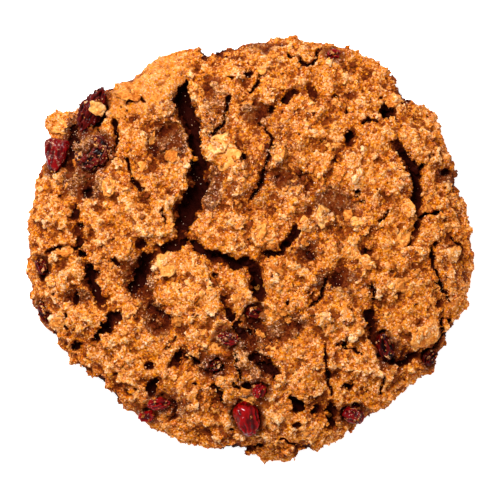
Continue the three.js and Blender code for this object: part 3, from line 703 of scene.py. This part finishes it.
def doughColour(look, *extra):  # the crust's colour with painted light and shade from the relief, which the crumbs on it share
    distance, random = look.granules(doughLook["granules"])[:2]
    fineRandom, fineHue, fineFade = look.granules(doughLook["fineGranules"])[1:]
    tone = look.sum(  # painted highlight on what stands out, painted shade where it sinks and at the granules' edges, and tone that differs from grain to grain
        (look.attribute("fine"), 0.34, 0.5), (look.attribute("middle"), 0.36, 0.5),
        (look.attribute("broad"), 0.26, 0.5), (look.attribute("gloom"), -0.30, 0.12),
        (look.attribute("torn"), -0.14, 0.1), (look.noise(6.0, 2), 0.25, 0.5),
        (look.noise(1.6, 3, 0.6), 0.5, 0.5), (look.noise(0.45, 4, 0.9), 1.0, 0.5),
        (random, 0.16, 0.5), (distance, -0.14, 0.4), (fineRandom, 0.42, 0.5), *extra)
    tone = look.maths("ADD", tone, 0.53)
    crust = look.ramp(tone, doughLook["crust"])
    crust = look.mix(look.maths("MULTIPLY", look.attribute("skin"), 0.45), crust, doughLook["skin"])
    ragged = look.sum((look.attribute("torn"), 1.0, 0.0), (look.noise(1.3, 3, 0.75), 1.3, 0.5))
    torn = look.span(ragged, 0.3, 0.7, 0.0, 0.9)
    colour = look.mix(torn, crust, look.ramp(tone, doughLook["crumb"]))

    hue = look.sum((fineHue, 0.009, 0.5), (look.noise(0.9, 3, 0.7), 0.03, 0.5))
    dull = look.sum((fineFade, -0.16, 0.5), (look.noise(0.7, 3, 0.7), -0.12, 0.5))
    colour = look.tint(colour, look.maths("ADD", hue, 0.5), look.maths("ADD", dull, 1.01))
    # fine creases painted darker: painted shade
    creases = look.sum((look.attribute("crease"), 0.9, 0.0), (look.noise(0.5, 3, 0.7), 0.5, 0.5))
    colour = look.mix(look.span(creases, 0.1, 0.9, 0.0, 0.8), colour, doughLook["crease"])
    # the dough darker close to the berries
    stain = look.sum((look.attribute("stain"), 1.0, 0.0), (look.noise(0.8, 3, 0.8), 1.2, 0.5))
    colour = look.mix(look.span(stain, 0.2, 0.9, 0.0, 0.8), colour, doughLook["stain"])
    # the smallest granule cells painted dark as tiny pits: painted shade
    pores = look.maths("LESS_THAN", look.maths("ADD", random, distance), 0.13)
    colour = look.mix(pores, colour, doughLook["pore"])

    # hollows, hairlines and pits darkened with their depth: painted shade
    deep = look.maths("MAXIMUM", look.attribute("depth"), look.maths("MULTIPLY", look.attribute("cut"), 0.55))
    deep = look.sum((deep, 1.1, 0.0), (look.noise(0.7, 4, 0.85), 0.9, 0.5), (tone, -0.6, 0.5))
    colour = look.mix(look.span(deep, 0.22, 0.46), colour, look.ramp(deep, doughLook["hollow"]))
    # pale specks on some grains: painted glint of sugar crystals catching the light, as well as their paler
    # colour
    glint = look.sum((fineRandom, 1.0, 0.0), (look.attribute("torn"), 0.06, 0.0),
                     (look.attribute("depth"), -0.5, 0.0), (look.noise(2.5, 2), 0.3, 0.5), (tone, 0.1, 0.5))
    frost = look.maths("ADD", look.span(glint, 0.86, 0.94, 0.0, 0.1), look.span(glint, 0.96, 0.98, 0.0, 0.28))
    return look.mix(frost, colour, doughLook["frost"])


def crustFinish():
    look = Finish("bakedDough")
    colour = doughColour(look)
    distance, random = look.granules(doughLook["granules"])[:2]
    grain = look.bump(look.noise(1.1, 3, 0.65), 0.35, 0.8)
    grain = look.bump(look.sum((distance, -1.0, 0.0), (random, 0.5, 0.0)), 0.22, 0.7, grain)
    grain = look.bump(look.noise(0.25, 3, 0.8), 0.2, 1.0, grain)
    return look.finish({"Base Color": colour, "Roughness": 0.7, "Specular IOR Level": 0.05, "Normal": grain})


# rolled oats: the large ones as they show, and the small ones and bits by rule

oats = {
    "large": [  # (x, y, length, turn, how pale)
        (-5.7, 20.9, 4.8, 20, 0.8), (-4.5, 17.7, 5.6, -15, 0.55), (-16.5, -2.9, 4.6, 30, 0.6),
        (14.3, 6.7, 4.8, -10, 0.65), (21.5, 5.7, 3.8, 20, 0.6), (10.9, 4.9, 3.4, -30, 0.55),
        (5.5, 19.5, 4.2, 60, 0.4), (-38.1, 24.5, 3.8, 80, 0.55), (-22.1, 15.9, 4.0, 0, 0.35),
        (-27.7, 12.5, 3.6, 40, 0.3), (2.5, 36.1, 3.2, 0, 0.4), (34.9, -16.6, 7.0, 10, 0.25),
        (20.9, -16.1, 3.8, 10, 0.25), (40.4, -0.7, 3.4, 0, 0.4), (41.3, -10.5, 3.0, 60, 0.25),
        (36.3, -10.5, 3.2, 50, 0.3), (-37.9, -14.3, 3.0, 80, 0.3), (-2.3, -10.1, 3.4, 45, 0.25),
        (-24.3, 31.3, 6.0, -38, 0.1), (22.7, -2.3, 3.2, 0, 0.3), (31.1, 8.7, 3.2, 80, 0.45),
        (28.5, 29.7, 3.4, 30, 0.2),
    ],
    "onBerries": [(-30.3, 27.9, 3.4, 62, 0.8), (-30.4, 20.9, 2.6, 80, 0.35)],
    "small": {"count": 16, "least": 2.8, "most": 4.2, "spacing": 6.5, "reach": 38, "seed": 11},
    "bits": {"count": 170, "least": 1.2, "most": 2.6, "reach": 41, "seed": 23},
    "width": 0.74, "thickness": 0.3, "tilt": 22, "palest": 0.35, "granules": 0.5,
    "shapes": 8, "seed": 5, "liftOnCrust": -0.02, "liftOnBerries": 0.18,
}


def smallOats():  # the same rule as the solid's
    rule = oats["small"]
    draw = drawFrom(rule["seed"])
    placed = [oat[:2] for oat in oats["large"]]
    made = []
    while len(made) < rule["count"]:
        bearing = (draw() * 2 - 1) * math.pi
        radius = rule["reach"] * math.sqrt(draw())
        x, y = radius * math.cos(bearing), radius * math.sin(bearing)
        length = rule["least"] + (rule["most"] - rule["least"]) * draw()
        turn = 360 * draw()
        if all(math.hypot(px - x, py - y) >= rule["spacing"] for px, py in placed):
            placed.append((x, y))
            made.append((x, y, length, turn, oats["palest"] * draw()))
    return made


def oatBits():
    rule = oats["bits"]
    draw = drawFrom(rule["seed"])
    made = []
    for _ in range(rule["count"]):
        bearing, radius = 2 * math.pi * draw(), rule["reach"] * math.sqrt(draw())
        length = rule["least"] + (rule["most"] - rule["least"]) * draw() ** 2
        made.append((radius * math.cos(bearing), radius * math.sin(bearing), length, 360 * draw(),
                     oats["palest"] * draw()))
    return made


def oatShapes(count):
    shapes = []
    for seed in range(count):
        deselectAll()
        bpy.ops.mesh.primitive_ico_sphere_add(subdivisions=3, radius=1)
        flake = bpy.context.object
        bpy.ops.object.mode_set(mode="EDIT")
        bpy.ops.mesh.select_all(action="SELECT")
        bpy.ops.transform.resize(value=(1.0, oats["width"], oats["thickness"]))
        bpy.ops.object.mode_set(mode="OBJECT")
        applyModifier(flake, "DISPLACE", strength=1.15, mid_level=0.5, texture_coords="LOCAL",
                      direction="RGB_TO_XYZ",
                      texture=pattern("CLOUDS", noise_scale=0.5 + 0.07 * seed, noise_depth=2,
                                      cloud_type="COLOR"))
        coords = coordsOf(flake)
        crease = np.exp(-(coords[:, 1] / 0.14) ** 2) * (np.abs(coords[:, 0]) < 0.8)
        coords[:, 2] = (0.6 * coords[:, 2] + 0.2 * coords[:, 1] ** 2 - 0.12 * coords[:, 0] ** 2
                        - 0.07 * crease * np.sign(coords[:, 2]))
        shapes.append((coords, trianglesOf(flake)))
        bpy.data.objects.remove(flake)
    return shapes


def restingPlace(surface, x, y, length):  # the middle and the slope of what a flake would lie on
    hits = []
    for step in range(7):  # six places round the middle, and the middle
        angle = step * math.pi / 3
        reach = 0.0 if step == 6 else 0.3 * length
        start = Vector(((x + reach * math.cos(angle)) * mm, (y + reach * math.sin(angle)) * mm, 0.1))
        place = surface.ray_cast(start, Vector((0, 0, -1)))[0]
        if place is not None and place.z > 0.5 * mm:
            hits.append(np.array(place))
    if len(hits) < 5:
        return None
    hits = np.array(hits)
    normal = np.linalg.svd(hits - hits.mean(0))[2][2]
    normal = normal * np.sign(normal[2])
    if normal[2] < 0.5 or np.ptp(hits[:, 2]) > 0.75 * length * mm:
        return None
    return np.array([x * mm, y * mm, np.median(hits[:, 2])]), normal


def makeOats(crust, berries):
    surface = surfaceOf([crust])
    berrySurface = surfaceOf([crust, *berries])
    shapes = oatShapes(oats["shapes"])
    draw = drawFrom(oats["seed"])
    copies = []
    tones = []
    wanted = [(surface, oats["liftOnCrust"], oat) for oat in [*oats["large"], *smallOats(), *oatBits()]]
    wanted += [(berrySurface, oats["liftOnBerries"], oat) for oat in oats["onBerries"]]
    for base, lift, (x, y, length, turn, pale) in wanted:
        found = restingPlace(base, x, y, length)
        if found is None:
            continue
        centre, normal = found
        tilt = [math.radians(oats["tilt"]) * (draw() * 2 - 1) for _ in range(2)]
        turnMatrix = turnedUp(normal, math.radians(turn), tilt)
        points, triangles = shapes[int(draw() * len(shapes))]
        size = length / 2 * mm
        copies.append((points * size @ turnMatrix.T + centre + normal * lift * size, triangles))
        tones.append(np.full(len(points), pale))
    flakes = meshOfCopies("oatFlakes", copies)
    setAttribute(flakes, "tone", np.concatenate(tones))
    keepInside(flakes)
    pick(flakes)
    bpy.ops.object.shade_smooth()
    print("oats laid", len(copies))
    return flakes


def oatFinish():
    look = Finish("toastedOat")
    distance, random = look.granules(oats["granules"])[:2]
    tone = look.sum((look.attribute("tone"), 0.62, 0.0), (look.noise(1.4, 3), 1.1, 0.42),
                    (look.noise(0.4, 3, 0.8), 1.0, 0.5), (random, 0.3, 0.5))
    colour = look.ramp(tone, [
        (0.0, (0.42, 0.095, 0.006)), (0.25, (0.66, 0.215, 0.028)), (0.5, (0.80, 0.34, 0.075)),
        (0.75, (0.88, 0.48, 0.17)), (1.0, (0.93, 0.64, 0.34))])
    grain = look.bump(look.noise(0.6, 3, 0.6), 0.2, 0.7)
    grain = look.bump(distance, -0.2, 0.7, grain)
    return look.finish({"Base Color": colour, "Roughness": 0.6, "Specular IOR Level": 0.12, "Normal": grain})


# loose crumbs, fine grains and sugar on the crust

crumbs = {  # shapes: (how many, roughness, subdivisions); onTorn: how much denser on the torn patches
    "crumbs": {"count": 1900, "sizes": (0.25, 0.8), "seed": 31, "shapes": (8, 0.4, 2),
               "lift": 0.0, "onTorn": 1.0},
    "fineGrains": {"count": 9600, "sizes": (0.12, 0.34), "seed": 41, "shapes": (6, 0.3, 1),
                   "lift": 0.15, "onTorn": 1.0},
    "sugar": {"count": 3600, "sizes": (0.06, 0.14), "seed": 37, "shapes": (5, 0.3, 1),
              "lift": 0.5, "onTorn": 4.0},
    "stuckCrumbs": {"sizes": (0.1, 0.45), "seed": 43, "shapes": (6, 0.6, 2)},
}


def scatterOn(crust, relief, name):
    rule = crumbs[name]
    shapes = crumbShapes(*rule["shapes"])
    low, high = rule["sizes"]

    def wanted(points, normals, corners):
        patchy = 0.4 + 0.6 * (np.sin(points[:, 0] * 410 + 1) * np.sin(points[:, 1] * 370 + 2) > -0.1)
        moist = 1 + (rule["onTorn"] - 1) * relief["torn"][corners]
        clear = 1 - 0.65 * fade(relief["depth"][corners], 0.1, 0.5)
        bare = 1 - 0.7 * onSkin(points)
        return (normals[:, 2] > 0.1) * (points[:, 2] > 1.2 * mm) * patchy * moist * clear * bare
    spots, normals, corners, chance = surfaceSpots(crust, rule["count"], rule["seed"], wanted)
    copies = []
    tones = []
    for spot, normal in zip(spots, normals):
        points, triangles = shapes[chance.integers(len(shapes))]
        size = (low + (high - low) * chance.random() ** 2.5) * mm
        turn = turnedUp(normal, chance.random() * 6.28, chance.normal(0, 0.6, 2))
        stretched = points * size * (0.7 + 0.6 * chance.random(3))
        copies.append((stretched @ turn.T + spot + normal * size * rule["lift"], triangles))
        tones.append(np.full(len(points), chance.random()))
    piece = meshOfCopies(name, copies)
    setAttribute(piece, "tone", np.concatenate(tones))
    repeats = [len(points) for points, triangles in copies]
    for key, values in relief.items():
        setAttribute(piece, key, np.repeat(values[corners], repeats))
    keepInside(piece)
    print(name, "scattered")
    return piece


def crumbFinish(name, spread):
    look = Finish(name)
    colour = doughColour(look, (look.attribute("tone"), spread, 0.42))
    grain = look.bump(look.noise(0.3, 3, 0.7), 0.15, 0.8)
    return look.finish({"Base Color": colour, "Roughness": 0.6, "Specular IOR Level": 0.06, "Normal": grain})


def sugarFinish():
    look = Finish("sugarGrain")
    colour = look.ramp(look.attribute("tone"), [(0.0, (0.80, 0.38, 0.15)), (1.0, (0.94, 0.68, 0.48))])
    return look.finish({"Base Color": colour, "Roughness": 0.25, "Specular IOR Level": 0.3})


# dried cranberries: each takes the place and outline of its solid

berryLook = {  # folds: (length, width, depth) of the ridges; the last two are for berries without their own
    "cranberry_corner": {"folds": (4.5, 1.4, 0.4), "finish": "frosted", "crumbs": 6},
    "cranberry_folded": {"folds": (7.0, 0.9, 1.1), "finish": "baked", "crumbs": 20},
    "cranberry_curled": {"folds": (2.6, 1.2, 0.9), "finish": "sugared", "crumbs": 70},
    "cranberry_glossy": {"folds": (5.0, 1.7, 0.55), "finish": "glossy", "crumbs": 7},
    "cranberry_south": {"folds": (3.0, 1.3, 0.5), "finish": "frosted", "crumbs": 26},
    "cranberry_middle": {"folds": (3.0, 1.0, 0.6), "finish": "frosted", "crumbs": 46},
    "cranberry_red": {"folds": (3.0, 0.9, 0.7), "finish": "glossy", "crumbs": 12},
    "cranberry_dark": {"folds": (3.0, 0.9, 0.7), "finish": "baked", "crumbs": 20},
}
berryFinishes = {
    # ridge and fold: the skin's colour on the ridges and, darker, in the folds, painted shade
    "glossy": {"ridge": (0.25, 0.0003, 0.0010), "fold": (0.045, 0.0002, 0.0004), "dust": 0.05,
               "roughness": 0.05, "shine": 0.16},
    "frosted": {"ridge": (0.18, 0.0003, 0.0012), "fold": (0.040, 0.0003, 0.0006), "dust": 0.32,
                "roughness": 0.08, "shine": 0.13},
    "baked": {"ridge": (0.095, 0.0020, 0.0008), "fold": (0.004, 0.0003, 0.0002), "dust": 0.12,
              "roughness": 0.08, "shine": 0.09},
    "sugared": {"ridge": (0.12, 0.0045, 0.0025), "fold": (0.007, 0.0005, 0.0004), "dust": 0.34,
                "roughness": 0.12, "shine": 0.09},
}


def foldSkin(berry, seed, folds):  # sharp ridges that run along the berry, as fruit gets when it dries
    coords = coordsOf(berry)
    centre = coords.mean(0)
    axes = np.linalg.svd(coords - centre, full_matrices=False)[2]
    along, across, depth = folds
    local = (coords - centre) @ axes.T / mm / (along, across, across)
    ridges = np.array([noise.ridged_multi_fractal(Vector(point) + Vector((seed, 0, 0)), 0.9, 2.0, 3, 1.0, 2.0)
                       for point in local])
    low, high = np.percentile(ridges, (4, 96))
    share = np.clip((ridges - low) / (high - low), 0, 1)
    setCoords(berry, coords + normalsOf(berry) * ((share - 0.9) * depth * mm)[:, None])
    setAttribute(berry, "ridge", share)


def makeBerry(name, seed, look):
    berry = copyOfNode(name, name.replace("_", "") + "Fruit")
    level = 3 if len(berry.data.polygons) < 200 else 2
    applyModifier(berry, "SUBSURF", levels=level, render_levels=level)
    foldSkin(berry, 7.3 * seed, look["folds"])
    applyModifier(berry, "DISPLACE", texture_coords="LOCAL", strength=0.2 * mm, mid_level=0.5,
                  texture=pattern("CLOUDS", noise_scale=0.7 * mm, noise_depth=2))
    bpy.ops.object.shade_smooth()
    keepInside(berry)
    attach(berry, "root")
    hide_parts(name)
    return berry


def berryFinish(name):
    values = berryFinishes[name]
    look = Finish(name + "Cranberry")
    # the skin darker in the folds than on the ridges: painted shade
    tone = look.sum((look.attribute("ridge"), 1.0, 0.0), (look.noise(0.8, 3), 0.9, 0.5))
    colour = look.mix(look.span(tone, 0.25, 1.05), values["fold"], values["ridge"])
    cover = look.sum((look.noise(0.9, 4, 0.8), 1.0, 0.0), (look.attribute("ridge"), 0.12, 0.5))
    dust = look.span(cover, 0.74 - 0.5 * values["dust"], 0.82 - 0.5 * values["dust"], 0.0, 0.85)
    random = look.granules(0.28)[1]
    powder = look.ramp(random, [
        (0.0, (0.12, 0.03, 0.012)), (0.6, (0.40, 0.16, 0.07)), (1.0, (0.86, 0.58, 0.42))])
    colour = look.mix(dust, colour, powder)
    creases = look.bump(look.noise(1.2, 3, 0.5), 0.2, 0.5)
    creases = look.bump(look.maths("MULTIPLY", dust, random), 0.15, 0.8, creases)
    wetness = look.span(dust, 0.0, 1.0, values["roughness"], 0.6)
    return look.finish({"Base Color": colour, "Roughness": wetness, "Specular IOR Level": values["shine"],
                        "Normal": creases})


def crumbsOnBerries(berries, counts):
    rule = crumbs["stuckCrumbs"]
    shapes = crumbShapes(*rule["shapes"])
    low, high = rule["sizes"]
    copies = []
    tones = []

    def wanted(points, normals, corners):
        clusters = np.sin(points[:, 0] * 2300 + 1) * np.sin(points[:, 1] * 2100 + 2) > -0.2
        return (normals[:, 2] > 0.1) * (0.1 + clusters)
    for berry, count in zip(berries, counts):
        spots, normals, _, chance = surfaceSpots(berry, count, rule["seed"], wanted)
        for spot, normal in zip(spots, normals):
            points, triangles = shapes[chance.integers(len(shapes))]
            size = (low + (high - low) * chance.random() ** 3) * mm
            turn = turnedUp(normal, chance.random() * 6.28, chance.normal(0, 0.6, 2))
            stretched = points * size * (0.5 + chance.random(3))
            copies.append((stretched @ turn.T + spot, triangles))
            tones.append(np.full(len(points), chance.random()))
    piece = meshOfCopies("stuckCrumbs", copies)
    setAttribute(piece, "tone", np.concatenate(tones))
    for key, value in {"fine": 0.5, "middle": 0.45, "broad": 0.5, "torn": 0.55}.items():
        setAttribute(piece, key, np.full(len(piece.data.vertices), value))
    keepInside(piece)
    print("berries dusted")
    return piece


makeStage()
slots = {row["node"]: row["material_slot"] for row in frame["record"]["subparts"]}
finishes = {name: berryFinish(name) for name in berryFinishes}
berries = []
crumbCounts = []
for seed, name in enumerate(sorted(frame["nodes"])):
    if name.startswith("cranberry"):
        look = berryLook.get(name, berryLook[slots[name]])
        berry = makeBerry(name, seed, look)
        berry.data.materials.append(finishes[look["finish"]])
        berries.append(berry)
        crumbCounts.append(look["crumbs"])
print("berries made")

crust = makeCrust()
relief = readRelief(crust, berries)
crust.data.materials.append(crustFinish())
pick(crust)
bpy.ops.object.shade_smooth()
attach(crust, "root")
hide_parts("cookie")

scattered = [
    (makeOats(crust, berries), oatFinish()),
    (scatterOn(crust, relief, "crumbs"), crumbFinish("crumb", 0.35)),
    (scatterOn(crust, relief, "fineGrains"), crumbFinish("fineGrain", 0.6)),
    (scatterOn(crust, relief, "sugar"), sugarFinish()),
    (crumbsOnBerries(berries, crumbCounts), crumbFinish("stuckCrumb", 0.5)),
]
for piece, finish in scattered:
    piece.data.materials.append(finish)
    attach(piece, "root")
